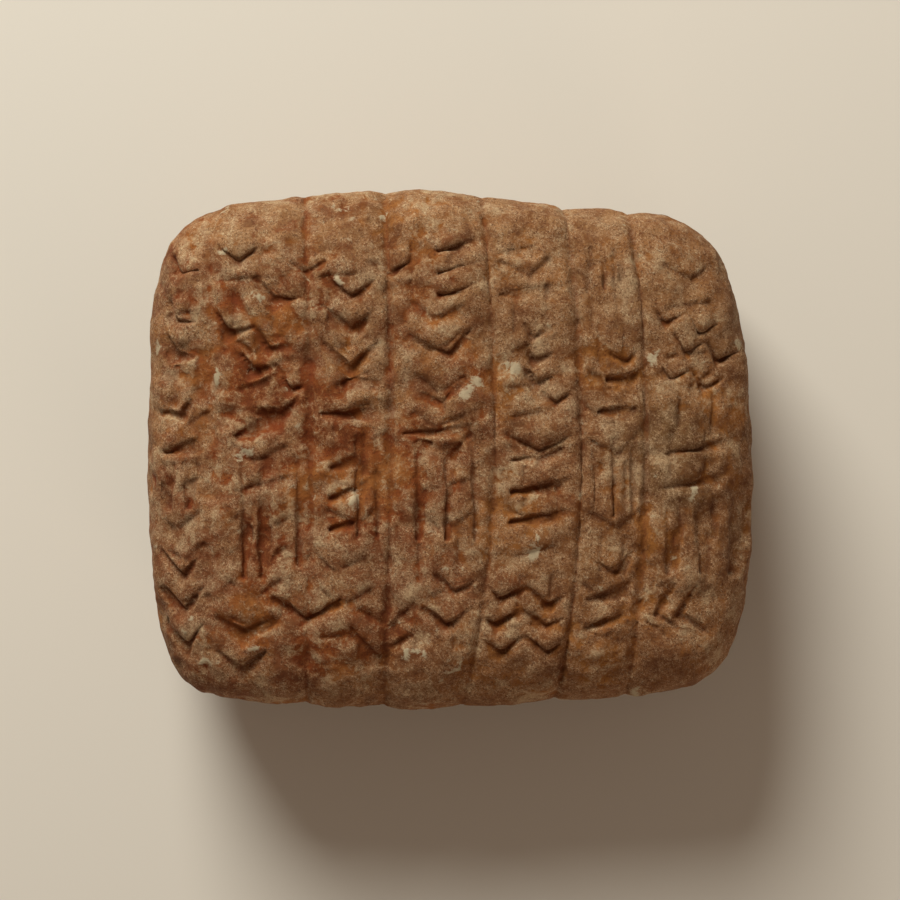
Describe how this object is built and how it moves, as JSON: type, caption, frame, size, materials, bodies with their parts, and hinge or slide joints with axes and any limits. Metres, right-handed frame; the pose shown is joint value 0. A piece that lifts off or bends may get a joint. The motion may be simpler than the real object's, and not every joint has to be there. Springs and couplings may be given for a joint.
{
  "type": "cuneiform tablet",
  "caption": "Small pillow-shaped fired-clay tablet, ruled into long cases and printed all over its face with wedge-like strokes, lying on its plain back.",
  "frame": {"origin": "middle of the tablet's length and width, on the flat spot of its back", "axes": "+X along the length, across the ruled cases; +Y along the cases, towards their upper end; +Z out of the printed face"},
  "size_m": [0.042, 0.0358, 0.016],
  "materials": {
    "fired_clay": "dry, matt, weathered orange-brown fired clay with a speckled tan crust, redder recesses and a few whitish mineral patches"
  },
  "bodies": {
    "root": {"tablet": "fired_clay"}
  },
  "joints": []
}
